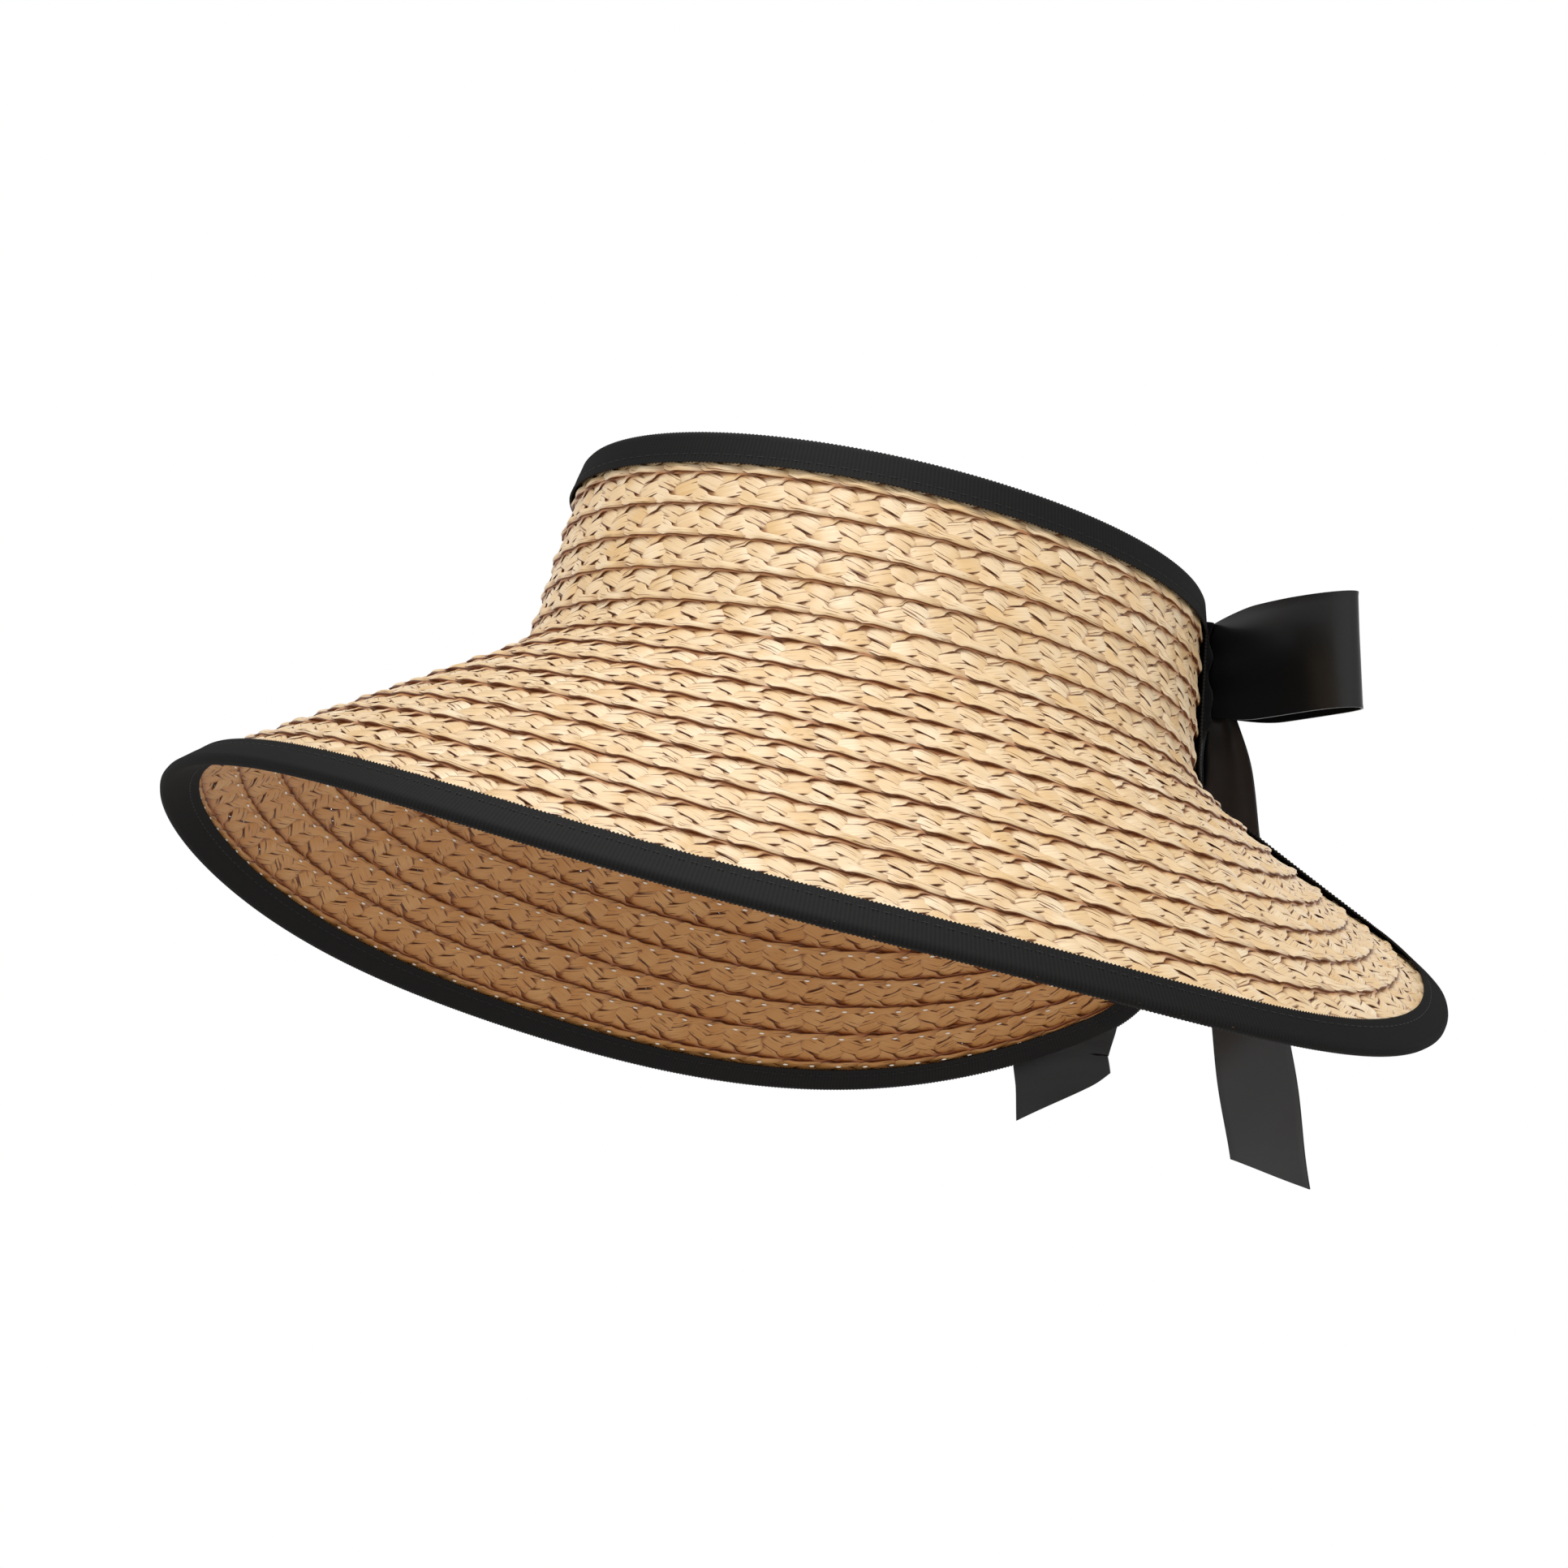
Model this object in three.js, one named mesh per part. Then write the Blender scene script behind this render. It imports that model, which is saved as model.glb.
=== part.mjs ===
// An open-crown sun visor sewn from flat plaited raffia, tied at the back with satin ribbon.
//
// The straw is one horseshoe of braid rows: six round the crown and ten in the brim. Each row is
// a length of braid whose lower border laps over the top border of the next. Grosgrain tape is
// folded over every cut edge, a sweatband lines the crown, and two ribbons stitched to the
// crown's back ends are tied in a bow that closes the gap behind the head.
//
// Millimetres, +Z up as worn, front towards -Y, the wearer's left towards +X. The origin is the
// centre of the head opening, where crown and brim meet. The visor sits tilted back on the head.
import * as THREE from 'three';
import { RoundedBoxGeometry } from 'three/addons/geometries/RoundedBoxGeometry.js';

// Head opening and crown
const headHalfLength = 98;
const headHalfWidth = 93;
const crownLeanLength = 5;
const crownLeanWidth = 13;
const crownHeight = 57;
const wearTilt = 12;

// Brim edge in the visor's own plane, at the front, front quarter, side, back quarter and back
const brimReach = [189, 173, 173, 179, 167];
const brimDrop = [62, 79, 87, 65, 20];

// Straw rows
const crownRows = 6;
const brimRows = 10;
const braidThickness = 1.2;
const braidLap = 0.2;
const lapClearance = 0.35;
const brimBend = 0.9;
const backEndAngle = 157;
const brimCornerRows = 2.8;
const brimCornerAngle = 10.1;
const crownCornerRows = 0.8;
const crownCornerAngle = 4.5;
const straightAngle = 142.5;
const angleStep = 7.5;

// Grosgrain tape, folded in two over the edges
const tapeCover = 9.5;
const tapeThickness = 0.6;
const tapeClearance = 0.5;
const tapeJoinRows = 0.03;

// Sweatband
const sweatbandThickness = 0.8;
const sweatbandRows = 2.5;
const sweatbandEndAngle = 138;

// Satin ribbon and its bow
const ribbonWidth = 34;
const ribbonThickness = 0.8;
const ribbonClearance = 0.5;
const ribbonPinch = 0.66;
const pinchRun = 28;
const bowRow = 1.2;
const bowStandOff = 9;
const knotWidth = 15;
const knotDepth = 11;
const knotHeight = 25;
const knotRound = 3.5;
const tieRow = 2.2;
const tieRun = 13;
const tiePast = 3;
const tieSetOff = 1.6;
const tieClearance = 1;
const loopLength = 57;
const loopFullness = 12;
const loopBelly = 0.62;
const loopBellyPlace = 0.45;
const loopSweep = 15;
const loopMouth = 0.4;
const loopSetOff = 1.6;
const loopMargin = 4;
const leftTailRoot = 6;
const bowSetBack = 3;
const rightTailRoot = 14;
const tailCut = 14;
const leftTailDrop = [20, 8.5, -139];
const leftTailTurn = 8;
const rightTailHang = 24;
const rightTailTurnEnd = 0.43;
const leaveCrown = 4;
const rightTailClearance = 2.2;

const straw = { color: 0xe3bf8a, roughness: 0.55, metalness: 0 };
const tape = { color: 0x211f1e, roughness: 0.85, metalness: 0 };
const cotton = { color: 0x2a2725, roughness: 0.95, metalness: 0 };
const satin = { color: 0x121112, roughness: 0.35, metalness: 0 };

const crownTopHalfLength = headHalfLength - crownLeanLength;
const crownTopHalfWidth = headHalfWidth - crownLeanWidth;
const breakRow = crownRows;
const lastRow = crownRows + brimRows;
const radians = THREE.MathUtils.degToRad;

const visor = new THREE.Group();
const tilted = new THREE.Group();
tilted.rotation.x = -radians(wearTilt);
tilted.updateMatrixWorld();
visor.add(tilted);

function addPiece(group, name, geometry, finish) {
  const piece = new THREE.Mesh(geometry, new THREE.MeshStandardMaterial(finish));
  piece.name = name;
  group.add(piece);
}

// A smooth curve, the same on both sides of the head, through values at equal angles from the
// front (0) to the back (pi).
function evenCurve(values, angle) {
  const last = values.length - 1;
  let sum = 0;
  for (let wave = 0; wave <= last; wave += 1) {
    let share = 0;
    values.forEach((value, index) => {
      const weight = index % last === 0 ? 0.5 : 1;
      share += weight * value * Math.cos((Math.PI * wave * index) / last);
    });
    const scale = wave % last === 0 ? 1 / last : 2 / last;
    sum += scale * share * Math.cos(wave * angle);
  }
  return sum;
}

// The straw's middle surface. angle runs from the front (0) round the wearer's left (positive);
// row counts braid rows down from the crown's top edge to the brim's edge.
function onForm(angle, row) {
  const side = Math.sin(angle);
  const ahead = -Math.cos(angle);
  const top = new THREE.Vector3(crownTopHalfWidth * side, crownTopHalfLength * ahead, crownHeight);
  const base = new THREE.Vector3(headHalfWidth * side, headHalfLength * ahead, 0);
  const reach = evenCurve(brimReach, angle);
  const edge = new THREE.Vector3(reach * side, reach * ahead, -evenCurve(brimDrop, angle));
  const onCrown = (at) => top.clone().lerp(base, at / crownRows);
  const onBrim = (at) => base.clone().lerp(edge, (at - breakRow) / brimRows);
  const along = (row - breakRow + brimBend) / (2 * brimBend);
  if (along <= 0) return onCrown(row);
  if (along >= 1) return onBrim(row);
  const bend = new THREE.QuadraticBezierCurve3(
    onCrown(breakRow - brimBend), base, onBrim(breakRow + brimBend));
  return bend.getPoint(along);
}

function outward(angle, row) {
  const small = 1e-3;
  const down = onForm(angle, row + small).sub(onForm(angle, row - small));
  const round = onForm(angle + small, row).sub(onForm(angle - small, row));
  return down.cross(round).normalize();
}

// A point that stands off the straw's middle surface by height.
function offForm(angle, row, height) {
  return onForm(angle, row).addScaledVector(outward(angle, row), height);
}

// How far round the straw reaches at a row: the back ends have rounded outer corners.
function endAngle(row) {
  const intoBrimCorner = Math.max(0, row - (lastRow - brimCornerRows)) / brimCornerRows;
  const intoCrownCorner = Math.max(0, crownCornerRows - row) / crownCornerRows;
  const into = Math.min(1, Math.max(intoBrimCorner, intoCrownCorner));
  const cornerAngle = row > breakRow ? brimCornerAngle : crownCornerAngle;
  return radians(backEndAngle - cornerAngle * (1 - Math.sqrt(1 - into * into)));
}

// Angles shared by every piece that runs round the head, so that facets lie on each other. The
// last two steps close up to the piece's own end.
const straightSteps = Math.round(straightAngle / angleStep);
const sideSteps = straightSteps + 2;
function angleAt(index, end) {
  const size = Math.abs(index);
  const straight = radians(straightAngle);
  const past = (size - straightSteps) / (sideSteps - straightSteps);
  const angle = size <= straightSteps ? radians(size * angleStep) : straight + past * (end - straight);
  return Math.sign(index) * angle;
}

// Moves every corner of a block to its place on the visor.
function shaped(geometry, place) {
  const corners = geometry.attributes.position;
  const corner = new THREE.Vector3();
  for (let i = 0; i < corners.count; i += 1) {
    const target = place(corner.fromBufferAttribute(corners, i));
    corners.setXYZ(i, target.x, target.y, target.z);
  }
  geometry.computeVertexNormals();
  return geometry;
}

// One braid row, tilted like a shingle so that it passes over the next row and under the last.
const lapRise = ((braidThickness + lapClearance) * (1 + braidLap)) / 2;
const strawHalfDepth = lapRise + braidThickness / 2;
function braidRow(index) {
  const nearBend = Math.abs(index + 0.5 - breakRow) < brimBend;
  const acrossSteps = nearBend ? 3 : 1;
  const isLast = index === lastRow - 1;
  const width = isLast ? 1 : 1 + braidLap;
  const block = new THREE.BoxGeometry(2 * sideSteps, 1, braidThickness, 2 * sideSteps, acrossSteps, 1);
  return shaped(block, (corner) => {
    const across = 0.5 - corner.y;
    const row = index + across * width;
    const rise = (2 * across * width) / (1 + braidLap) - 1;
    const angle = angleAt(Math.round(corner.x), endAngle(row));
    return offForm(angle, row, rise * lapRise + corner.z);
  });
}
for (let i = 0; i < lastRow; i += 1) {
  const name = i < crownRows ? `crown_row_${i + 1}` : `brim_row_${i - crownRows + 1}`;
  addPiece(tilted, name, braidRow(i), straw);
}

// The folded tape's section: a channel whose mouth takes the straw's edge. x runs from the fold
// towards the straw, y across the straw's thickness.
const channelHalf = strawHalfDepth + tapeClearance;
const channelSection = new THREE.Shape([
  [-tapeThickness, -channelHalf - tapeThickness], [tapeCover, -channelHalf - tapeThickness],
  [tapeCover, -channelHalf], [0, -channelHalf], [0, channelHalf], [tapeCover, channelHalf],
  [tapeCover, channelHalf + tapeThickness], [-tapeThickness, channelHalf + tapeThickness],
].map(([x, y]) => new THREE.Vector2(x, y)));

// Lays the tape along stations of angle and row. turnIn gives the way from the edge into the straw.
function edgeTape(stations) {
  const last = stations.length - 1;
  const local = stations.map(({ angle, row }) => {
    const small = 1e-3;
    const roundScale = onForm(angle + small, row).distanceTo(onForm(angle - small, row)) / (2 * small);
    const downScale = onForm(angle, row + small).distanceTo(onForm(angle, row - small)) / (2 * small);
    return { angle, row, roundScale, downScale };
  });
  const inward = local.map((station, i) => {
    const before = local[Math.max(0, i - 1)];
    const after = local[Math.min(last, i + 1)];
    const round = (after.angle - before.angle) * station.roundScale;
    const down = (after.row - before.row) * station.downScale;
    return new THREE.Vector2(-down, round).normalize();
  });
  const tube = new THREE.ExtrudeGeometry(channelSection, { depth: last, steps: last, bevelEnabled: false });
  return shaped(tube, (corner) => {
    const station = local[Math.round(corner.z)];
    const into = inward[Math.round(corner.z)];
    const reach = corner.x - tapeClearance;
    const angle = station.angle + (into.x * reach) / station.roundScale;
    const row = station.row + (into.y * reach) / station.downScale;
    return offForm(angle, row, -corner.y);
  });
}

// Half of an edge: along the border at edgeRow, round the corner and along the back end to joinRow.
function halfEdge(edgeRow, cornerRows, joinRow) {
  const stations = [];
  const sense = Math.sign(joinRow - edgeRow);
  for (let i = 0; i <= straightSteps; i += 1) {
    stations.push({ angle: radians(i * angleStep), row: edgeRow });
  }
  const cornerSteps = 6;
  for (let i = 0; i <= cornerSteps; i += 1) {
    const swing = (i / cornerSteps) * (Math.PI / 2);
    const row = edgeRow + sense * cornerRows * (1 - Math.cos(swing));
    stations.push({ angle: endAngle(row), row });
  }
  const firstRow = edgeRow + sense * cornerRows;
  const endSteps = Math.ceil(Math.abs(joinRow - firstRow));
  for (let i = 1; i <= endSteps; i += 1) {
    const row = firstRow + ((joinRow - firstRow) * i) / endSteps;
    stations.push({ angle: endAngle(row), row });
  }
  return stations;
}

function wholeEdge(edgeRow, cornerRows, joinRow) {
  const half = halfEdge(edgeRow, cornerRows, joinRow);
  const otherHalf = half.slice(1).reverse().map(({ angle, row }) => ({ angle: -angle, row }));
  const stations = [...otherHalf, ...half];
  return edgeRow > joinRow ? stations.reverse() : stations;
}
const crownEdge = wholeEdge(0, crownCornerRows, breakRow - tapeJoinRows);
const brimEdge = wholeEdge(lastRow, brimCornerRows, breakRow + tapeJoinRows);
addPiece(tilted, 'crown_binding', edgeTape(crownEdge), tape);
addPiece(tilted, 'brim_binding', edgeTape(brimEdge), tape);

// The sweatband lines the lower crown, clear of the bound back ends.
const sweatbandBottom = breakRow - brimBend;
const sweatbandDepth = -(strawHalfDepth + tapeClearance + sweatbandThickness / 2);
const sweatbandSteps = 2 * Math.round(sweatbandEndAngle / angleStep);
const sweatbandBlock = new THREE.BoxGeometry(sweatbandSteps, 1, sweatbandThickness, sweatbandSteps, 2, 1);
addPiece(tilted, 'sweatband', shaped(sweatbandBlock, (corner) => {
  const angle = (corner.x / (sweatbandSteps / 2)) * radians(sweatbandEndAngle);
  const row = sweatbandBottom - (corner.y + 0.5) * sweatbandRows;
  return offForm(angle, row, sweatbandDepth + corner.z);
}), cotton);

// A flat ribbon whose middle line is a curve. across gives the way its width runs, and the ribbon
// is gathered where it leaves the knot, at its start. cut slants the free end.
function ribbon(middle, across, steps, gathered, cut) {
  const block = new THREE.BoxGeometry(steps, 1, ribbonThickness, steps, 4, 1);
  const length = middle.getLength();
  return shaped(block, (corner) => {
    const share = corner.x / steps + 0.5;
    const slant = (cut * corner.y * share) / length;
    const at = Math.min(1, share * (1 - cut / length / 2) + slant);
    const point = middle.getPointAt(at);
    const along = middle.getTangentAt(at);
    const face = along.clone().cross(across(share)).normalize();
    const side = face.clone().cross(along);
    const spread = gathered ? pinched(at * length) : 1;
    return point.addScaledVector(side, corner.y * ribbonWidth * spread).addScaledVector(face, corner.z);
  });
}

// The share of its full width that the ribbon has at a distance from the knot.
function pinched(distance) {
  const open = THREE.MathUtils.smoothstep(distance, -pinchRun / 2, pinchRun);
  return ribbonPinch + (1 - ribbonPinch) * open;
}

// The knot sits behind the gap, near the top of the crown.
const inPlace = (point) => point.applyMatrix4(tilted.matrixWorld);
const knotCentre = inPlace(offForm(Math.PI, bowRow, bowStandOff));
const knot = new RoundedBoxGeometry(knotWidth, knotDepth, knotHeight, 2, knotRound);
addPiece(visor, 'bow_knot', knot.translate(...knotCentre), satin);

// Each tie is stitched inside a bound back end of the crown and runs to its side of the knot.
const tieDepth = -(channelHalf + tapeThickness + tieClearance + ribbonThickness / 2);
const knotSide = knotWidth / 2 + ribbonClearance;
for (const [name, side] of [['left', 1], ['right', -1]]) {
  const inside = [-tiePast, tieRun / 2, tieRun].map((run) => (
    inPlace(offForm(side * radians(backEndAngle - run), tieRow, tieDepth))));
  const upCrown = inPlace(onForm(side * radians(backEndAngle - tieRun / 2), tieRow - 1)
    .sub(onForm(side * radians(backEndAngle - tieRun / 2), tieRow + 1)));
  const atKnot = knotCentre.clone().add(new THREE.Vector3(side * (knotSide + tieSetOff), 0, 0));
  const leaving = atKnot.clone().add(new THREE.Vector3(side * tieSetOff * 2, 0, 0));
  const middle = new THREE.CatmullRomCurve3([atKnot, leaving, ...inside]);
  const upright = new THREE.Vector3(0, 0, 1);
  const tieAcross = (share) => upright.clone().lerp(upCrown.normalize(), Math.min(1, share * 2));
  addPiece(visor, `ribbon_tie_${name}`, ribbon(middle, tieAcross, 8, true, 0), satin);
}

// A bow loop: the ribbon goes out from the knot, round and back, so it is a band open above and
// below. x runs out from the knot and y across the loop's fullness.
function loopOutline(path, inset) {
  const start = inset > 0 ? loopMargin * inset : 0;
  const root = ribbonThickness + loopMouth - inset;
  const full = loopFullness * loopBelly - inset;
  const tip = loopLength - inset;
  path.moveTo(start, -root);
  path.bezierCurveTo(loopLength * loopBellyPlace, -full, tip, -full, tip, 0);
  path.bezierCurveTo(tip, full, loopLength * loopBellyPlace, full, start, root);
  path.closePath();
  return path;
}
const loopShape = loopOutline(new THREE.Shape(), 0);
loopShape.holes.push(loopOutline(new THREE.Path(), ribbonThickness));
for (const [name, side] of [['left', 1], ['right', -1]]) {
  const out = new THREE.Vector3(side * Math.cos(radians(loopSweep)), Math.sin(radians(loopSweep)), 0);
  const aside = side * (knotSide + ribbonThickness + loopSetOff);
  const root = knotCentre.clone().add(new THREE.Vector3(aside, bowSetBack, 0));
  const up = new THREE.Vector3(0, 0, 1);
  const full = up.clone().cross(out);
  const band = new THREE.ExtrudeGeometry(loopShape, {
    depth: 1, steps: 2, curveSegments: 10, bevelEnabled: false,
  });
  addPiece(visor, `bow_loop_${name}`, shaped(band, (corner) => (
    root.clone().addScaledVector(out, corner.x).addScaledVector(full, corner.y)
      .addScaledVector(up, (corner.z - 0.5) * ribbonWidth * pinched(corner.x)))), satin);
}

// Both tails start below the loops, so that a loop can swing over them.
const tailBelow = (ribbonWidth - knotHeight) / 2 + ribbonClearance;
const rightTailBelow = tailBelow + (ribbonWidth * pinched(0)) / 2;

// The left tail hangs through the gap. The right tail lies on the brim's back corner and hangs
// over its edge.
const underKnot = (aside, below) => (
  knotCentre.clone().add(new THREE.Vector3(aside, bowSetBack, -knotHeight / 2 - below)));
const leftTop = underKnot(leftTailRoot, tailBelow);
const leftDrop = new THREE.Vector3(...leftTailDrop);
const leftLine = new THREE.LineCurve3(leftTop, leftTop.clone().add(leftDrop));
const leftAcross = new THREE.Vector3(Math.cos(radians(leftTailTurn)), Math.sin(radians(leftTailTurn)), 0);
addPiece(visor, 'ribbon_tail_left', ribbon(leftLine, () => leftAcross, 6, true, tailCut), satin);

const overBrim = [[154, 8.5], [150, 11], [146.5, 13], [143.5, 15], [141.5, 16.5]];
const tapeSurface = channelHalf + tapeThickness + ribbonThickness / 2;
const laid = overBrim.map(([angle, row]) => {
  const under = onForm(radians(angle), row);
  const bow = ribbonWidth ** 2 / (8 * Math.hypot(under.x, under.y));
  const lift = tapeSurface + rightTailClearance + bow + (row < 9 ? leaveCrown : 0);
  return inPlace(offForm(-radians(angle), row, lift));
});
const overEdge = laid[laid.length - 1].clone();
const hung = [0.5, 1].map((share) => (
  overEdge.clone().add(new THREE.Vector3(-1, 2, -rightTailHang * share))));
const rightLine = new THREE.CatmullRomCurve3([underKnot(-rightTailRoot, rightTailBelow), ...laid, ...hung]);
const rightStartAcross = new THREE.Vector3(-0.45, 0.1, 0.85).normalize();
const rightEndAcross = new THREE.Vector3(-0.78, -0.62, 0).normalize();
const rightAcross = (share) => (
  rightStartAcross.clone().lerp(rightEndAcross, Math.min(1, share / rightTailTurnEnd)));
addPiece(visor, 'ribbon_tail_right', ribbon(rightLine, rightAcross, 32, true, tailCut), satin);

export default visor;
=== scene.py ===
import math

import bpy
import numpy as np
from mathutils import Matrix, Vector


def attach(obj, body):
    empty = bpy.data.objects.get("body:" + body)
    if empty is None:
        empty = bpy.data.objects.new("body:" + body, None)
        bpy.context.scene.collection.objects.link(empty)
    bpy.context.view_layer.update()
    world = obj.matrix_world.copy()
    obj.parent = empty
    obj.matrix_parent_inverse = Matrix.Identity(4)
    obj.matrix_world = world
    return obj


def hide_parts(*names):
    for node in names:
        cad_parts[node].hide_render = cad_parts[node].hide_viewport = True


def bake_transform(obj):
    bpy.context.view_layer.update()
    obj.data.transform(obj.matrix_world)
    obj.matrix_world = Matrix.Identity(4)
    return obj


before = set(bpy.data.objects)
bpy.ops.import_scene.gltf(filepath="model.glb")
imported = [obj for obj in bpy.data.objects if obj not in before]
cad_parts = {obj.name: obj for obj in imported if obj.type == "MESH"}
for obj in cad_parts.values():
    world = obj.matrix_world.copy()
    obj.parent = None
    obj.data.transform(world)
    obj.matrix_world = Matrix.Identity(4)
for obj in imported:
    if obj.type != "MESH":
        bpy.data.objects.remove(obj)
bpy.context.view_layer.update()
mm = 0.001

# Studio: one camera at the wearer's left and a little below the brim, a soft box over the front and
# another overhead, and a pale floor well under the visor, which hangs at the height of a head.
camera_azimuth = math.radians(66.3)
camera_elevation = math.radians(-7.1)
camera_roll = math.radians(0.4)
camera_distance = 0.9575
camera_aside = -0.0211
camera_above = -0.0151

across_view = Vector((math.cos(camera_azimuth), math.sin(camera_azimuth), 0))
back_view = Vector((
    math.sin(camera_azimuth) * math.cos(camera_elevation),
    -math.cos(camera_azimuth) * math.cos(camera_elevation),
    math.sin(camera_elevation),
))
up_view = back_view.cross(across_view)
lens = bpy.data.cameras.new("camera")
lens.lens = 76.2
lens.sensor_width = 36
lens.clip_start = 0.01
camera = bpy.data.objects.new("camera", lens)
bpy.context.collection.objects.link(camera)
place = back_view * camera_distance + across_view * camera_aside + up_view * camera_above
turned = Matrix((across_view, up_view, back_view)).transposed() @ Matrix.Rotation(camera_roll, 3, "Z")
camera.matrix_world = Matrix.Translation(place) @ turned.to_4x4()
bpy.context.scene.camera = camera
bpy.context.scene.view_settings.view_transform = "Standard"


def soft_box(name, place, size, watts):
    lamp = bpy.data.lights.new(name, "AREA")
    lamp.shape = "DISK"
    lamp.size = size
    lamp.energy = watts
    holder = bpy.data.objects.new(name, lamp)
    bpy.context.collection.objects.link(holder)
    holder.location = place
    holder.rotation_euler = Vector(place).to_track_quat("Z", "Y").to_euler()


soft_box("key", (0.75, -0.35, 1.25), 0.7, 13)
soft_box("overhead", (-0.2, 0.1, 1.5), 1.0, 7)

# The backdrop is white at eye level and dimmer overhead and underfoot.
studio = bpy.data.worlds.new("studio")
studio.use_nodes = True
bpy.context.scene.world = studio
tree = studio.node_tree
direction = tree.nodes.new("ShaderNodeTexCoord").outputs["Generated"]
split_direction = tree.nodes.new("ShaderNodeSeparateXYZ")
tree.links.new(direction, split_direction.inputs["Vector"])
height = tree.nodes.new("ShaderNodeMath")
height.operation = "ABSOLUTE"
tree.links.new(split_direction.outputs["Z"], height.inputs[0])
dimming = tree.nodes.new("ShaderNodeMapRange")
dimming.interpolation_type = "SMOOTHSTEP"
dimming.inputs["From Min"].default_value = 0.36
dimming.inputs["From Max"].default_value = 0.55
dimming.inputs["To Min"].default_value = 1.0
dimming.inputs["To Max"].default_value = 0.28
tree.links.new(height.outputs["Value"], dimming.inputs["Value"])
tree.links.new(dimming.outputs["Result"], tree.nodes["Background"].inputs["Strength"])
tree.nodes["Background"].inputs["Color"].default_value = (1, 1, 1, 1)


def linear(code):
    """An sRGB hex colour as linear red, green, blue and alpha."""
    parts = [int(code[i:i + 2], 16) / 255 for i in (1, 3, 5)]
    return [c / 12.92 if c <= 0.04045 else ((c + 0.055) / 1.055) ** 2.4 for c in parts] + [1]


def add_node(tree, kind, settings=None, inputs=None):
    """Adds a shader node with its settings, and gives each input a value or a link."""
    made = tree.nodes.new("ShaderNode" + kind)
    for name, value in (settings or {}).items():
        setattr(made, name, value)
    for name, value in (inputs or {}).items():
        if isinstance(value, bpy.types.NodeSocket):
            tree.links.new(value, made.inputs[name])
        else:
            made.inputs[name].default_value = value
    return made


def new_material(name):
    material = bpy.data.materials.new(name)
    material.use_nodes = True
    return material, material.node_tree, material.node_tree.nodes["Principled BSDF"]


def deselect_all():
    bpy.ops.object.select_all(action="DESELECT")


def apply_modifiers(piece):
    bpy.context.view_layer.objects.active = piece
    for modifier in list(piece.modifiers):
        bpy.ops.object.modifier_apply(modifier=modifier.name)


# Pale paper sweep: matt and evenly white.
sweep_paper, tree, shader = new_material("sweep_paper")
shader.inputs["Base Color"].default_value = linear("#EDEBE8")
shader.inputs["Roughness"].default_value = 0.9
deselect_all()
floor_depth = 0.5
bpy.ops.mesh.primitive_circle_add(vertices=96, radius=1.5, fill_type="NGON", location=(0, 0, -floor_depth))
floor = bpy.context.object
floor.name = "floor"
bpy.ops.object.transform_apply(location=True)
floor.data.materials.append(sweep_paper)


# Straw rows: raffia palm leaf, torn into flat strands and plaited by hand, five strands to a
# braid, sewn row under row. Each row's lower border laps over the upper border of the next. The
# form is the same as the CAD's: six crown rows on a cone, a bend, and ten brim rows.
head_half_length = 98 * mm
head_half_width = 93 * mm
crown_lean_length = 5 * mm
crown_lean_width = 13 * mm
crown_top_half_length = head_half_length - crown_lean_length
crown_top_half_width = head_half_width - crown_lean_width
crown_height = 57 * mm
wear_tilt = math.radians(12)
brim_reach = [189 * mm, 173 * mm, 173 * mm, 179 * mm, 167 * mm]
brim_drop = [62 * mm, 79 * mm, 87 * mm, 65 * mm, 20 * mm]
crown_rows = 6
brim_rows = 10
last_row = crown_rows + brim_rows
brim_bend = 0.9
back_end_angle = math.radians(157)
brim_corner_rows, brim_corner_angle = 2.8, math.radians(10.1)
crown_corner_rows, crown_corner_angle = 0.8, math.radians(4.5)
braid_lap = 0.2
lap_rise = 0.62 * mm


def even_curve(values, angle):
    """A smooth curve, even about the front, through values at equal angles from front to back."""
    last = len(values) - 1
    total = np.zeros_like(angle)
    for wave in range(last + 1):
        share = sum(
            value * math.cos(math.pi * wave * index / last) * (0.5 if index in (0, last) else 1)
            for index, value in enumerate(values)
        )
        total += (1 if wave in (0, last) else 2) / last * share * np.cos(wave * angle)
    return total


def on_form(angle, row):
    """Points on the straw's middle surface, before the visor is tilted."""
    side, ahead = np.sin(angle), -np.cos(angle)
    flat = np.zeros_like(side)
    top = np.stack([crown_top_half_width * side, crown_top_half_length * ahead, flat + crown_height], -1)
    base = np.stack([head_half_width * side, head_half_length * ahead, flat], -1)
    reach = even_curve(brim_reach, angle)
    edge = np.stack([reach * side, reach * ahead, -even_curve(brim_drop, angle)], -1)
    share = np.asarray(row)[..., None]
    bend_share = brim_bend / crown_rows
    along = np.clip((share - crown_rows + brim_bend) / (2 * brim_bend), 0, 1)
    before = base + (top - base) * bend_share
    after = base + (edge - base) * brim_bend / brim_rows
    bent = (1 - along) ** 2 * before + 2 * along * (1 - along) * base + along ** 2 * after
    crown = top + (base - top) * share / crown_rows
    brim = base + (edge - base) * (share - crown_rows) / brim_rows
    return np.where(along <= 0, crown, np.where(along >= 1, brim, bent))


def off_form(angle, row, height):
    """Points that stand off the straw's middle surface, on the tilted visor."""
    small = 1e-3
    down = on_form(angle, row + small) - on_form(angle, row - small)
    round_head = on_form(angle + small, row) - on_form(angle - small, row)
    out = np.cross(down, round_head)
    out /= np.linalg.norm(out, axis=-1, keepdims=True)
    point = on_form(angle, row) + out * np.asarray(height)[..., None]
    x, y, z = point[..., 0], point[..., 1], point[..., 2]
    cosine, sine = math.cos(wear_tilt), math.sin(wear_tilt)
    return np.stack([x, y * cosine + z * sine, z * cosine - y * sine], -1)


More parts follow.
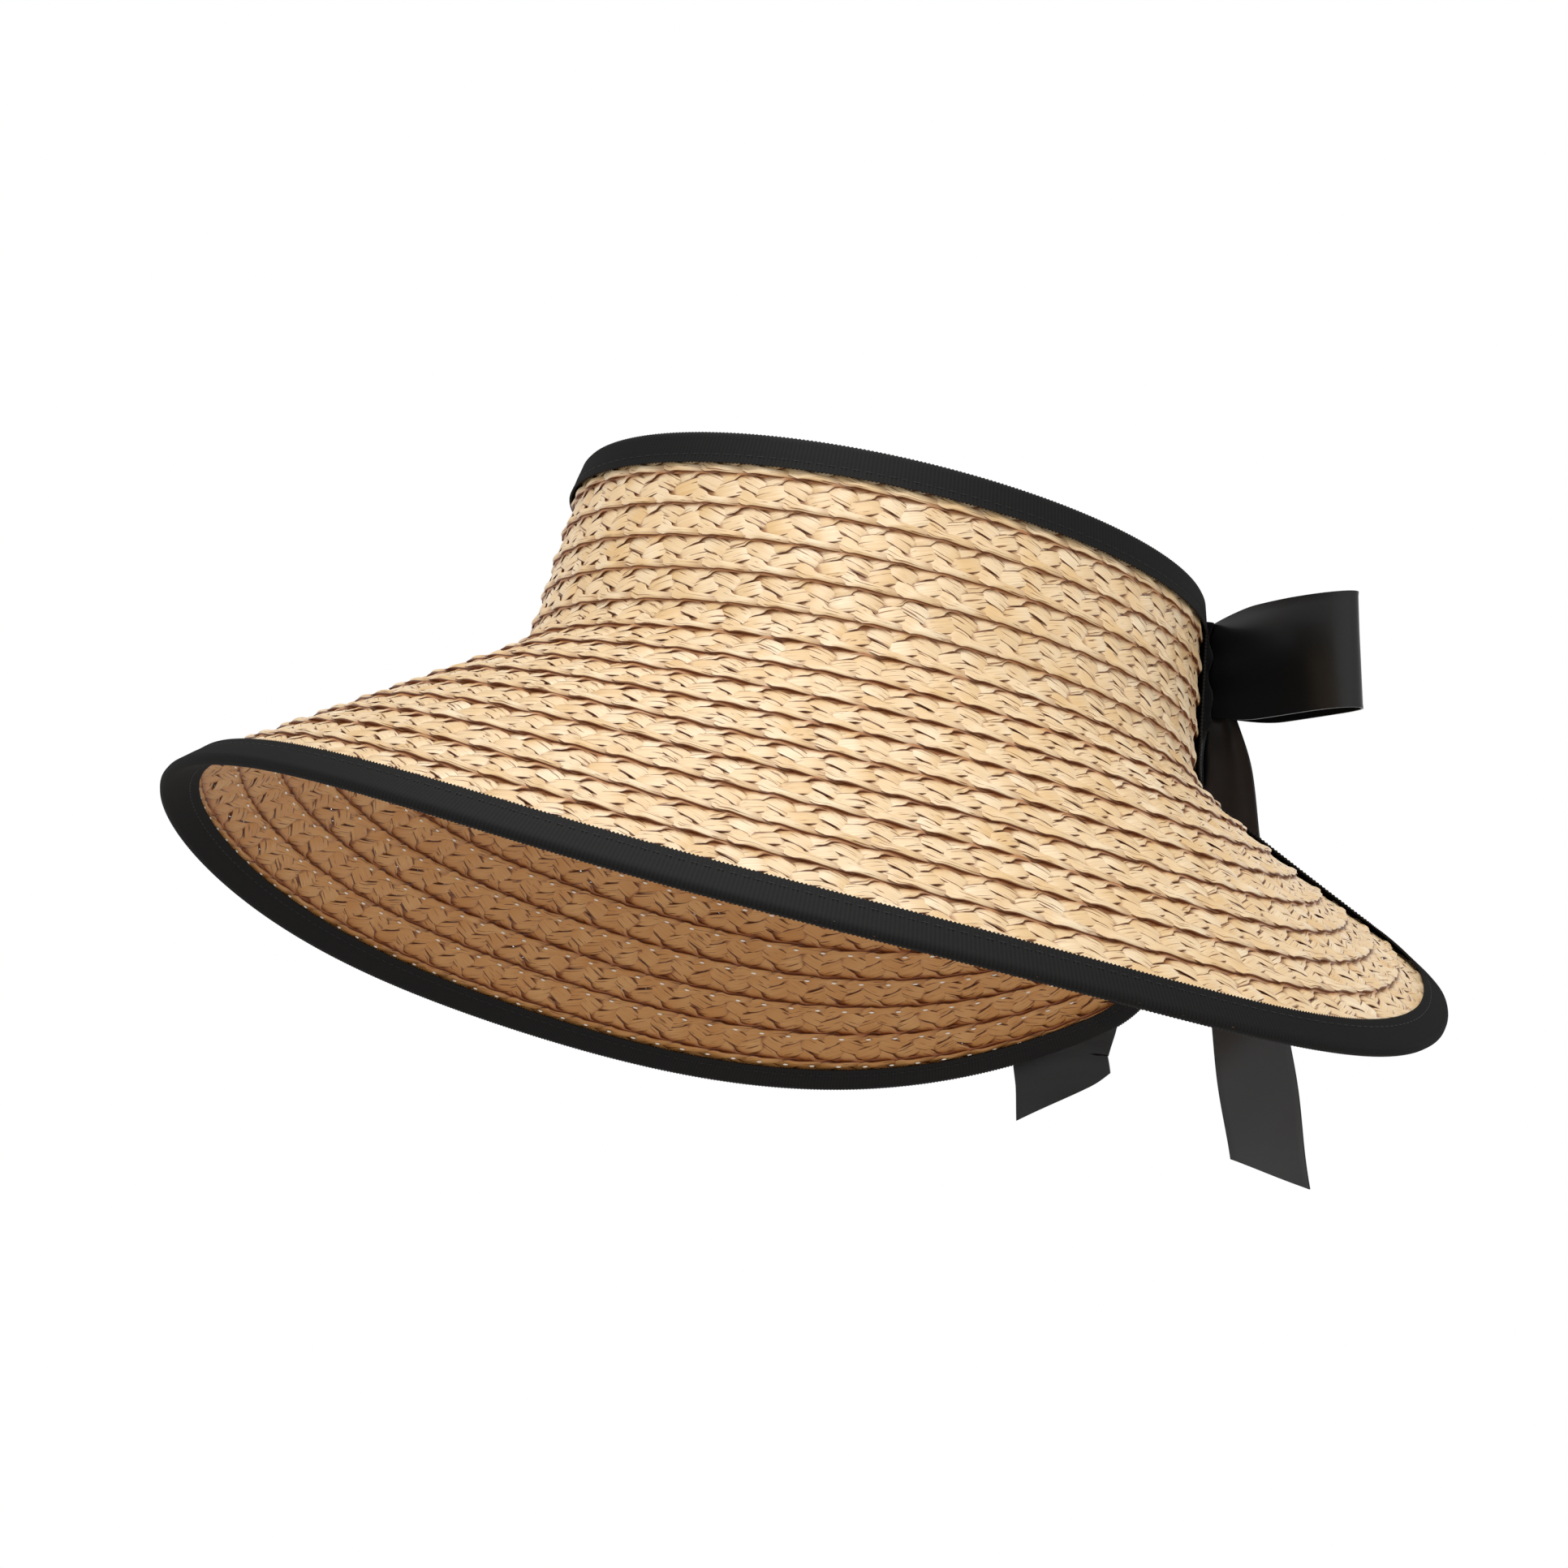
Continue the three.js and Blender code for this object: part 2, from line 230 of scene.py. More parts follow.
def end_angle(row):
    """How far round the straw reaches at a row, with its rounded outer corners."""
    into_brim = max(0, row - (last_row - brim_corner_rows)) / brim_corner_rows
    into_crown = max(0, crown_corner_rows - row) / crown_corner_rows
    into = min(1, max(into_brim, into_crown))
    corner = brim_corner_angle if row > crown_rows else crown_corner_angle
    return back_end_angle - corner * (1 - math.sqrt(1 - into * into))


def get_points(piece):
    points = np.empty(len(piece.data.vertices) * 3)
    piece.data.vertices.foreach_get("co", points)
    return points.reshape(-1, 3)


def set_points(piece, points):
    piece.data.vertices.foreach_set("co", points.astype(np.float32).ravel())
    piece.data.update()


def smooth_step(low, high, value):
    share = np.clip((value - low) / (high - low), 0, 1)
    return share * share * (3 - 2 * share)


def flat_strip(name, length, width, steps, across_steps, thickness):
    """A flat strip of its real size, as cut, centred on the origin."""
    deselect_all()
    bpy.ops.mesh.primitive_grid_add(x_subdivisions=steps, y_subdivisions=across_steps, size=1)
    strip = bpy.context.object
    strip.name = name
    strip.scale = (length, width, 1)
    bpy.ops.object.transform_apply(scale=True)
    shell = strip.modifiers.new("thickness", "SOLIDIFY")
    shell.thickness = thickness
    shell.offset = 0
    apply_modifiers(strip)
    return strip


def map_in_metres(piece, length, width, shift=(0, 0)):
    uv = piece.data.uv_layers.active.data
    places = np.empty(len(uv) * 2)
    uv.foreach_get("uv", places)
    places = places.reshape(-1, 2) * (length, width) + shift
    uv.foreach_set("uv", places.astype(np.float32).ravel())


# Raffia: dried palm leaf, glossy and golden, with long fibres and fine splits; painted shade browns a strand
# where it dips under its neighbours.
# A strand is 5 mm wide, its fibres about 0.3 mm apart and its splits 6 to 12 mm long. Painted shade also
# browns its edges, the strip beside each lap, and the whole face turned to the head.
raffia, tree, shader = new_material("raffia_palm_leaf")
on_strand = add_node(tree, "UVMap", {"uv_map": "UVMap"}).outputs["UV"]
dip_shade_in = add_node(tree, "Attribute", {"attribute_name": "painted_dip_shade"}).outputs["Fac"]
fibre_place = add_node(tree, "Mapping", inputs={"Vector": on_strand, "Scale": (70, 2600, 1)})
fibre = add_node(tree, "TexNoise", inputs={
    "Vector": fibre_place.outputs["Vector"], "Scale": 1, "Detail": 4, "Roughness": 0.6}).outputs["Fac"]
split_place = add_node(tree, "Mapping", inputs={"Vector": on_strand, "Scale": (110, 1500, 1)})
split_noise = add_node(tree, "TexNoise", inputs={
    "Vector": split_place.outputs["Vector"], "Scale": 1, "Detail": 2, "Distortion": 0.4}).outputs["Fac"]
split = add_node(tree, "MapRange", {"interpolation_type": "SMOOTHSTEP"}, {
    "Value": split_noise, "From Min": 0.61, "From Max": 0.66}).outputs["Result"]
leaf_place = add_node(tree, "Mapping", inputs={"Vector": on_strand, "Scale": (75, 3, 1)})
leaf_tone = add_node(tree, "TexNoise", inputs={
    "Vector": leaf_place.outputs["Vector"], "Scale": 1, "Detail": 1}).outputs["Fac"]
tone = add_node(tree, "MapRange", inputs={
    "Value": leaf_tone, "From Min": 0.3, "From Max": 0.7}).outputs["Result"]
leaf = add_node(tree, "Mix", {"data_type": "RGBA"}, {
    "Factor": tone, 6: linear("#E3C08C"), 7: linear("#F6E3C2")}).outputs[2]
fibre_share = add_node(tree, "MapRange", inputs={
    "Value": fibre, "From Min": 0.35, "From Max": 0.75, "To Max": 0.55}).outputs["Result"]
streaked = add_node(tree, "Mix", {"data_type": "RGBA"}, {
    "Factor": fibre_share, 6: leaf, 7: linear("#C99B64")}).outputs[2]
split_share = add_node(tree, "Math", {"operation": "MULTIPLY"}, {0: split, 1: 0.85}).outputs[0]
slit = add_node(tree, "Mix", {"data_type": "RGBA"}, {
    "Factor": split_share, 6: streaked, 7: linear("#7B4A22")}).outputs[2]
# Painted shade: a strand is browner where it dips under its neighbours, standing in for the shade between
# them.
shadowed = add_node(tree, "MapRange", {"interpolation_type": "SMOOTHSTEP"}, {
    "Value": dip_shade_in, "From Min": 0.45, "From Max": 1, "To Max": 0.85}).outputs["Result"]
under = add_node(tree, "Mix", {"data_type": "RGBA"}, {
    "Factor": shadowed, 6: slit, 7: linear("#94582A")}).outputs[2]
# Painted shade: the strip of a row beside each lap, where the next row overhangs it, is coloured browner.
lap_shade = add_node(tree, "Attribute", {"attribute_name": "lap_shade"}).outputs["Fac"]
lap_shade_share = add_node(tree, "Math", {"operation": "MULTIPLY"}, {0: lap_shade, 1: 0.85}).outputs[0]
lap_shaded = add_node(tree, "Mix", {"data_type": "RGBA"}, {
    "Factor": lap_shade_share, 6: under, 7: linear("#A8622A")}).outputs[2]
# Painted shadow: a thin brown line along each strand's edges stands in for the shadow in the gap beside it.
edge = add_node(tree, "Attribute", {"attribute_name": "strand_edge"}).outputs["Fac"]
ragged = add_node(tree, "Math", {"operation": "MULTIPLY_ADD"}, {0: fibre, 1: 0.22, 2: edge}).outputs[0]
edge_shadow = add_node(tree, "MapRange", {"interpolation_type": "SMOOTHSTEP"}, {
    "Value": ragged, "From Min": 0.98, "From Max": 1.07, "To Max": 0.92}).outputs["Result"]
edge_shadowed = add_node(tree, "Mix", {"data_type": "RGBA"}, {
    "Factor": edge_shadow, 6: lap_shaded, 7: linear("#64300F")}).outputs[2]
# Painted shade: the face turned to the head is tinted darker, as if in the shade inside the visor.
inner_face = add_node(tree, "Attribute", {"attribute_name": "inner_face"}).outputs["Fac"]
tree.links.new(add_node(tree, "Mix", {"data_type": "RGBA", "blend_type": "MULTIPLY"}, {
    "Factor": inner_face, 6: edge_shadowed, 7: linear("#D6B083")}).outputs[2], shader.inputs["Base Color"])
relief = add_node(tree, "Math", {"operation": "SUBTRACT"}, {0: fibre, 1: split}).outputs[0]
tree.links.new(add_node(tree, "Bump", inputs={
    "Height": relief, "Strength": 0.55, "Distance": 0.12 * mm}).outputs["Normal"], shader.inputs["Normal"])
shader.inputs["Roughness"].default_value = 0.4
shader.inputs["IOR"].default_value = 1.48

strands = 5
braid_width = 12.6 * mm
braid_pitch = 13 * mm
strand_width = 5.2 * mm
strand_thickness = 0.42 * mm
weave_height = 0.34 * mm
border_half = 1.15 * mm
border_narrowing, border_thickening = 0.5, 2.6
edge_thinning = 0.8
crease_height = 0.05 * mm
tip_height = 0.16 * mm
plait_length = 1.36
zigzag_slack = 1.1
spare_end = 12 * mm
station = 1.15 * mm

straw_random = np.random.default_rng(7)


def slow_wander(x, size, wave):
    """A smooth wander along a strand, so that no two crossings are alike."""
    total = np.zeros_like(x)
    for octave in (1, 2.3, 4.1):
        start = straw_random.uniform(0, 2 * math.pi)
        total += np.sin(2 * math.pi * octave * x / wave + start) / octave
    return total * size


def strand_way(leg):
    """How far across the braid a strand is, from -1 to 1. It runs along each border for a while."""
    bend, past_border, softness = 0.985, 1.25, 0.1
    zigzag = -past_border * np.arcsin(bend * np.cos(np.pi * leg)) / math.asin(bend)
    return (np.hypot(zigzag + 1, softness) - np.hypot(zigzag - 1, softness)) / 2


def plait_strand(strand, index):
    """Moves a flat strand on to its zigzag way through the braid."""
    points = get_points(strand)
    x, across, over = points[:, 0], points[:, 1] / strand_width, np.sign(points[:, 2])
    leg_length = strands / 2 * braid_pitch
    leg = x / leg_length + 2 * index / strands + slow_wander(x, 0.022, 0.09)
    fold = strand_way(leg)
    run = braid_width / 2 - border_half
    ahead = 0.5 * mm
    slope = (strand_way(leg + ahead / leg_length) - fold) * run / ahead
    size = np.sqrt(1 + slope * slope)
    border = smooth_step(0.8, 0.98, np.abs(fold))
    crossing = np.interp(leg % 1, np.arange(strands + 1) / strands, [-0.5, 0, 1, 2, 3, 3.5])
    lift = np.clip(-1.5 * np.cos(np.pi * crossing), -1, 1)
    width = strand_width * (1 - border_narrowing * border) * (1 + slow_wander(x, 0.07, 0.03))
    thick = strand_thickness / 2 * (1 + border_thickening * border)
    crown = 1 - edge_thinning * np.abs(2 * across) ** 5
    crease = crease_height * np.sin(2 * np.pi * (1.6 * across + slow_wander(x, 0.25, 0.05)))
    side = across * width
    tip = tip_height * slow_wander(x, 1, 0.04) * across
    y = braid_width / 2 + fold * run + side / size
    z = weave_height * lift + over * thick * crown + crease * (1 - border) + tip
    set_points(strand, np.stack([x - side * slope / size, y, z], -1))
    # Painted shade: marks how far each part of a strand dips under its neighbours, to be coloured darker.
    dip_shade = 0.5 - 0.5 * over * lift * (1 - 0.6 * border)
    inner = over < 0
    # Painted shade beside each lap: the strip of a row next to the seam, on either face, is marked to be
    # coloured browner.
    lap_shade = np.where(inner, smooth_step(9.0 * mm, 10.6 * mm, y), 1 - smooth_step(2.0 * mm, 3.4 * mm, y))
    for name, values in (
            ("painted_dip_shade", dip_shade), ("strand_edge", np.abs(2 * across)), ("inner_face", inner),
            ("lap_shade", lap_shade)):
        strand.data.attributes.new(name, "FLOAT", "POINT").data.foreach_set(
            "value", values.astype(np.float32))


strand_steps = round(plait_length / station)
first_strand = flat_strip("plait", plait_length, strand_width, strand_steps, 6, strand_thickness)
first_strand.data.materials.append(raffia)
loose_strands = [first_strand]
for index in range(1, strands):
    strand = first_strand.copy()
    strand.data = first_strand.data.copy()
    bpy.context.collection.objects.link(strand)
    loose_strands.append(strand)
for index, strand in enumerate(loose_strands):
    plait_strand(strand, index)
    map_in_metres(strand, plait_length * zigzag_slack, strand_width, (0.37 * index, 0.02 * index))
deselect_all()
for strand in loose_strands:
    strand.select_set(True)
bpy.context.view_layer.objects.active = first_strand
bpy.ops.object.join()
plait = first_strand


def row_line(row):
    """Distances along a row, from its front, against angles round the head."""
    angles = np.linspace(-back_end_angle, back_end_angle, 629)
    line = on_form(angles, np.full_like(angles, row))
    steps = np.linalg.norm(np.diff(line, axis=0), axis=1)
    along = np.concatenate([[0], np.cumsum(steps)])
    return along - along[len(along) // 2], angles


def press(angle, row):
    """The tape presses the straw flat along its cut edges: 1 where it lies free."""
    into = np.minimum(np.minimum(row, last_row - row), (back_end_angle - np.abs(angle)) * 9)
    return 0.3 + 0.7 * smooth_step(0, 1.2, into)


def lay_on_row(piece, first_row, rows_wide):
    """Bends a straight piece round the head, in the place of one row."""
    points = get_points(piece)
    along, angles = row_line(first_row + 0.6)
    across = points[:, 1] / braid_width * rows_wide
    angle = np.interp(points[:, 0], along, angles)
    row = first_row + across
    rise = (2 * across / (1 + braid_lap) - 1) * lap_rise
    set_points(piece, off_form(angle, row, rise * press(angle, row) + points[:, 2]))


def cut_end(piece, side, upper, lower):
    """Cuts a straight braid's end on the slant that its row's end has."""
    bpy.context.view_layer.objects.active = piece
    bpy.ops.object.mode_set(mode="EDIT")
    bpy.ops.mesh.select_all(action="SELECT")
    slant = Vector((side * braid_width, upper - lower, 0)).normalized()
    bpy.ops.mesh.bisect(
        plane_co=(side * upper, 0, 0), plane_no=slant, threshold=1e-6, use_fill=True, clear_outer=True)
    bpy.ops.object.mode_set(mode="OBJECT")


for index in range(last_row):
    rows_wide = 1 if index == last_row - 1 else 1 + braid_lap
    name = f"crown_row_{index + 1}" if index < crown_rows else f"brim_row_{index - crown_rows + 1}"
    along, angles = row_line(index + 0.6)
    upper = np.interp(end_angle(index), angles, along)
    lower = np.interp(end_angle(index + rows_wide), angles, along)
    row = plait.copy()
    row.data = plait.data.copy()
    row.name = f"plaited_{name}"
    bpy.context.collection.objects.link(row)
    room = plait_length / 2 - max(upper, lower) - spare_end
    shift = straw_random.uniform(-room, room)
    points = get_points(row)
    set_points(row, points + (shift, 0, 0))
    deselect_all()
    row.select_set(True)
    cut_end(row, 1, upper, lower)
    cut_end(row, -1, upper, lower)
    lay_on_row(row, index, rows_wide)
    bpy.ops.object.shade_smooth_by_angle(angle=math.radians(50))
    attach(row, "visor")
    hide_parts(name)
bpy.data.objects.remove(plait)


# Seam stitches: clear nylon thread, run along every lap by machine. Inside the visor each stitch
# shows as a bright bead, where it crosses the border of the lower row.
nylon, tree, shader = new_material("clear_nylon_thread")
# Painted reflection: the clear thread is coloured near-white so that its beads show bright in the shade,
# standing in for reflections of the white studio.
shader.inputs["Base Color"].default_value = linear("#F6F1E6")
shader.inputs["Roughness"].default_value = 0.18
shader.inputs["IOR"].default_value = 1.53
stitch_pitch = 8.7 * mm
stitch_length = 1.7 * mm
thread_thickness = 0.62 * mm
stitch_depth = -2.1 * mm
seam_end = 11 * mm
seam_across = 1.12 / (1 + braid_lap) * braid_width


def stitch_line(name, count, pitch, length, thickness, place):
    """A straight line of equal stitches, centred on the origin."""
    deselect_all()
    bpy.ops.mesh.primitive_uv_sphere_add(segments=6, ring_count=5, radius=0.5)
    stitches = bpy.context.object
    stitches.name = name
    stitches.rotation_euler = (0, math.radians(90), 0)
    bpy.ops.object.transform_apply(rotation=True)
    stitches.scale = (length, thickness, thickness)
    bpy.ops.object.transform_apply(scale=True)
    repeat = stitches.modifiers.new("repeat", "ARRAY")
    repeat.count = count
    repeat.use_relative_offset = False
    repeat.use_constant_offset = True
    repeat.constant_offset_displace = (pitch, 0, 0)
    apply_modifiers(stitches)
    set_points(stitches, get_points(stitches) + (-(count - 1) / 2 * pitch, place[0], place[1]))
    bpy.ops.object.shade_smooth()
    return stitches


seams = []
for index in range(last_row - 1):
    along, angles = row_line(index + 0.6)
    room = np.interp(end_angle(index + 1), angles, along) - seam_end
    count = int(2 * room / stitch_pitch)
    seam = stitch_line(f"seam_{index}", count, stitch_pitch, stitch_length, thread_thickness,
                       (seam_across, stitch_depth))
    lay_on_row(seam, index, 1 + braid_lap)
    seam.data.materials.append(nylon)
    seams.append(seam)
deselect_all()
for seam in seams:
    seam.select_set(True)
bpy.context.view_layer.objects.active = seams[0]
bpy.ops.object.join()
seam_stitches = seams[0]
seam_stitches.name = "seam_stitches"
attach(seam_stitches, "visor")


# Bindings: black grosgrain, 21 mm wide, folded over the cut edges of the straw, one round the
# top of the crown and one round the brim, each turning down the back ends to meet the other.
# The weft is thick, so ribs 1.1 mm apart cross the tape.
grosgrain, tree, shader = new_material("ribbed_grosgrain")
on_tape = add_node(tree, "UVMap", {"uv_map": "UVMap"}).outputs["UV"]
yarn_place = add_node(tree, "Mapping", inputs={"Vector": on_tape, "Scale": (900, 4200, 1)})
yarn = add_node(tree, "TexNoise", inputs={
    "Vector": yarn_place.outputs["Vector"], "Scale": 1, "Detail": 2}).outputs["Fac"]
rib = add_node(tree, "Attribute", {"attribute_name": "rib"}).outputs["Fac"]
worn = add_node(tree, "Mix", {"data_type": "RGBA"}, {
    "Factor": yarn, 6: linear("#0F0E0E"), 7: linear("#1A1817")}).outputs[2]
# Painted shade: the troughs between the ribs are coloured darker than the crests.
tree.links.new(add_node(tree, "Mix", {"data_type": "RGBA"}, {
    "Factor": rib, 6: linear("#060606"), 7: worn}).outputs[2], shader.inputs["Base Color"])
tree.links.new(add_node(tree, "Bump", inputs={
    "Height": yarn, "Strength": 0.5, "Distance": 0.1 * mm}).outputs["Normal"], shader.inputs["Normal"])
shader.inputs["Roughness"].default_value = 0.72
shader.inputs["Specular IOR Level"].default_value = 0.22

rib_pitch = 1.1 * mm
rib_height = 0.14 * mm
tape_thickness = 0.4 * mm
fold_half = 1.35 * mm
mouth_half = 2.35 * mm
fold_reach = -0.45 * mm
tape_cover = 9.5 * mm
fold_arc = fold_half * math.pi / 2
tape_leg = tape_cover - fold_reach - fold_half
tape_width = 2 * (fold_arc + tape_leg)
tape_stitch_inset = 2.5 * mm
stitch_pull = 0.15 * mm
border_scallop = 0.12 * mm


def edge_line(edge_row, corner_rows, corner_angle, join_row):
    """Angles, rows and distances along a bound edge, from the back end's join round to the other."""
    sense = math.copysign(1, join_row - edge_row)
    swing = np.linspace(0, math.pi / 2, 40)
    straight = np.linspace(0, back_end_angle - corner_angle, 300)
    end_rows = np.linspace(edge_row + sense * corner_rows, join_row, 80)
    angle = np.concatenate([
        straight, (back_end_angle - corner_angle * (1 - np.sin(swing)))[1:],
        np.full(79, back_end_angle)])
    row = np.concatenate([
        np.full(300, float(edge_row)), (edge_row + sense * corner_rows * (1 - np.cos(swing)))[1:],
        end_rows[1:]])
    angle = np.concatenate([-angle[:0:-1], angle])
    row = np.concatenate([row[:0:-1], row])
    steps = np.linalg.norm(np.diff(on_form(angle, row), axis=0), axis=1)
    along = np.concatenate([[0], np.cumsum(steps)])
    return along - along[-1] / 2, angle, row


def fold_over_edge(piece, line, inwards):
    """Folds a straight, flat piece over an edge of the straw."""
    points = get_points(piece)
    along, angles, rows = line
    small = 1e-3
    angle = np.interp(points[:, 0], along, angles)
    row = np.interp(points[:, 0], along, rows)
    reach = 1.2 * mm
    ahead = np.clip(points[:, 0] + reach, along[0], along[-1])
    behind = np.clip(points[:, 0] - reach, along[0], along[-1])
    step_round = on_form(angle + small, row) - on_form(angle - small, row)
    step_down = on_form(angle, row + small) - on_form(angle, row - small)
    round_scale = np.linalg.norm(step_round, axis=1) / (2 * small)
    down_scale = np.linalg.norm(step_down, axis=1) / (2 * small)
    round_head = (np.interp(ahead, along, angles) - np.interp(behind, along, angles)) * round_scale
    down = (np.interp(ahead, along, rows) - np.interp(behind, along, rows)) * down_scale
    size = np.hypot(round_head, down)
    into_angle, into_row = -inwards * down / size, inwards * round_head / size
    q, proud = points[:, 1], points[:, 2]
    turn = np.clip(q / fold_half, -math.pi / 2, math.pi / 2)
    leg = np.maximum(np.abs(q) - fold_arc, 0)
    x = fold_reach + fold_half * (1 - np.cos(turn)) + leg - proud * np.cos(turn)
    height = fold_half * np.sin(turn) + np.sign(q) * (mouth_half - fold_half) * leg / tape_leg
    height = height + proud * np.sin(turn)
    angle = angle + into_angle * x / round_scale
    row = row + into_row * x / down_scale
    set_points(piece, off_form(angle, row, height))


def bind_edge(name, node, line, inwards):
    length = line[0][-1] - line[0][0]
    ribs = round(length / rib_pitch)
    tape = flat_strip(name, length, tape_width, 2 * ribs, 22, tape_thickness)
    map_in_metres(tape, length, tape_width)
    points = get_points(tape)
    on_rib = np.cos(2 * np.pi * ribs * (points[:, 0] / length + 0.5))
    from_stitches = tape_width / 2 - tape_stitch_inset - np.abs(points[:, 1])
    pulled_in = stitch_pull * np.exp(-(from_stitches / (0.5 * mm)) ** 2)
    points[:, 2] += np.sign(points[:, 2]) * on_rib * rib_height - pulled_in
    on_border = np.abs(points[:, 1]) > tape_width * 0.49
    points[:, 1] += np.sign(points[:, 1]) * on_rib * border_scallop * on_border
    set_points(tape, points)
    tape.data.attributes.new("rib", "FLOAT", "POINT").data.foreach_set(
        "value", (0.5 + 0.5 * on_rib).astype(np.float32))
    fold_over_edge(tape, line, inwards)
    tape.data.materials.append(grosgrain)
    bpy.ops.object.shade_smooth_by_angle(angle=math.radians(60))
    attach(tape, "visor")
    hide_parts(node)


crown_edge = edge_line(0, crown_corner_rows, crown_corner_angle, crown_rows)
brim_edge = edge_line(last_row, brim_corner_rows, brim_corner_angle, crown_rows)
bind_edge("crown_tape", "crown_binding", crown_edge, 1)
bind_edge("brim_tape", "brim_binding", brim_edge, -1)


# Binding stitches: black cotton thread, a line of running stitches 2.5 mm inside the border of
# each tape, on both faces.
thread, tree, shader = new_material("black_cotton_thread")
shader.inputs["Base Color"].default_value = linear("#141313")
shader.inputs["Roughness"].default_value = 0.7
tape_stitch_pitch = 3.2 * mm
tape_lines = []
for name, line, inwards in (("crown", crown_edge, 1), ("brim", brim_edge, -1)):
    length = line[0][-1] - line[0][0]
    count = int((length - 4 * mm) / tape_stitch_pitch)
    for face in (1, -1):
        stitches = stitch_line(f"{name}_stitches_{face}", count, tape_stitch_pitch, 2.5 * mm, 0.32 * mm,
                               (face * (tape_width / 2 - tape_stitch_inset), 0.16 * mm))
        fold_over_edge(stitches, line, inwards)
        stitches.data.materials.append(thread)
        tape_lines.append(stitches)
deselect_all()
for stitches in tape_lines:
    stitches.select_set(True)
bpy.context.view_layer.objects.active = tape_lines[0]
bpy.ops.object.join()
binding_stitches = tape_lines[0]
binding_stitches.name = "binding_stitches"
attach(binding_stitches, "visor")


# Sweatband: a plain black cotton band, 24 mm wide, hemmed along both edges and sewn inside the
# lower crown. Its diagonal twill lines are 0.25 mm apart.
cotton, tree, shader = new_material("black_cotton_twill")
on_band = add_node(tree, "UVMap", {"uv_map": "UVMap"}).outputs["UV"]
twill_place = add_node(tree, "Mapping", inputs={
    "Vector": on_band, "Scale": (1250, 1250, 1), "Rotation": (0, 0, math.radians(60))})
twill = add_node(tree, "TexWave", {"wave_type": "BANDS"}, {
    "Vector": twill_place.outputs["Vector"], "Scale": 1, "Distortion": 0.4}).outputs["Fac"]
tree.links.new(add_node(tree, "Mix", {"data_type": "RGBA"}, {
    "Factor": twill, 6: linear("#1B1918"), 7: linear("#312D2B")}).outputs[2], shader.inputs["Base Color"])
tree.links.new(add_node(tree, "Bump", inputs={
    "Height": twill, "Strength": 0.5, "Distance": 0.15 * mm}).outputs["Normal"], shader.inputs["Normal"])
shader.inputs["Roughness"].default_value = 0.92
band_end_angle = math.radians(138)
band_rows = 2.5
band_bottom = crown_rows - brim_bend
band_depth = -2.43 * mm
band_thickness = 0.7 * mm
hem_place = 0.42
pucker_height, pucker_pitch = 0.12 * mm, 9 * mm
along, angles = row_line(band_bottom - band_rows / 2)
band_length = 2 * np.interp(band_end_angle, angles, along)
band_width = 23.9 * mm
band = flat_strip("sweatband_cloth", band_length, band_width, 220, 14, band_thickness)
map_in_metres(band, band_length, band_width)
points = get_points(band)
from_middle = np.abs(points[:, 1]) / band_width
hem = smooth_step(hem_place, hem_place + 0.04, from_middle)
groove = np.exp(-((from_middle - hem_place) / 0.015) ** 2)
puckers = pucker_height * np.sin(2 * np.pi * points[:, 0] / pucker_pitch) * (1 - hem)
depth = band_depth + points[:, 2] * (1 + 0.4 * hem - 0.4 * groove) + puckers
angle = np.interp(points[:, 0], along, angles)
row = band_bottom - (points[:, 1] / band_width + 0.5) * band_rows
set_points(band, off_form(angle, row, depth))
band.data.materials.append(cotton)
bpy.ops.object.shade_smooth_by_angle(angle=math.radians(50))
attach(band, "visor")
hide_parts("sweatband")


# Satin ribbon: black polyester, 34 mm wide, smooth on one face, with a woven selvedge. One
# length is stitched inside each back end of the crown, and the two are tied in a bow.
satin, tree, shader = new_material("black_satin")
on_ribbon = add_node(tree, "UVMap", {"uv_map": "UVMap"}).outputs["UV"]
weft_place = add_node(tree, "Mapping", inputs={"Vector": on_ribbon, "Scale": (2500, 500, 1)})
weft = add_node(tree, "TexNoise", inputs={
    "Vector": weft_place.outputs["Vector"], "Scale": 1, "Detail": 2}).outputs["Fac"]
tree.links.new(add_node(tree, "Mix", {"data_type": "RGBA"}, {
    "Factor": weft, 6: linear("#080808"), 7: linear("#131213")}).outputs[2], shader.inputs["Base Color"])
tree.links.new(add_node(tree, "Bump", inputs={
    "Height": weft, "Strength": 0.12, "Distance": 0.05 * mm}).outputs["Normal"], shader.inputs["Normal"])
shader.inputs["Roughness"].default_value = 0.34
shader.inputs["Specular IOR Level"].default_value = 0.38
shader.inputs["Sheen Weight"].default_value = 0.04
shader.inputs["Sheen Roughness"].default_value = 0.35

ribbon_width = 34 * mm
ribbon_thickness = 0.35 * mm
ribbon_pinch = 0.66
pinch_run = 28 * mm
pleat_run = 13 * mm
ripple_height, ripple_length = 0.5 * mm, 47 * mm
selvedge_height = 0.12 * mm
bow_row = 1.2
knot_width, knot_depth, knot_height = 15 * mm, 11 * mm, 25 * mm
knot_centre = off_form(np.array([math.pi]), np.array([bow_row]), np.array([9 * mm]))[0]


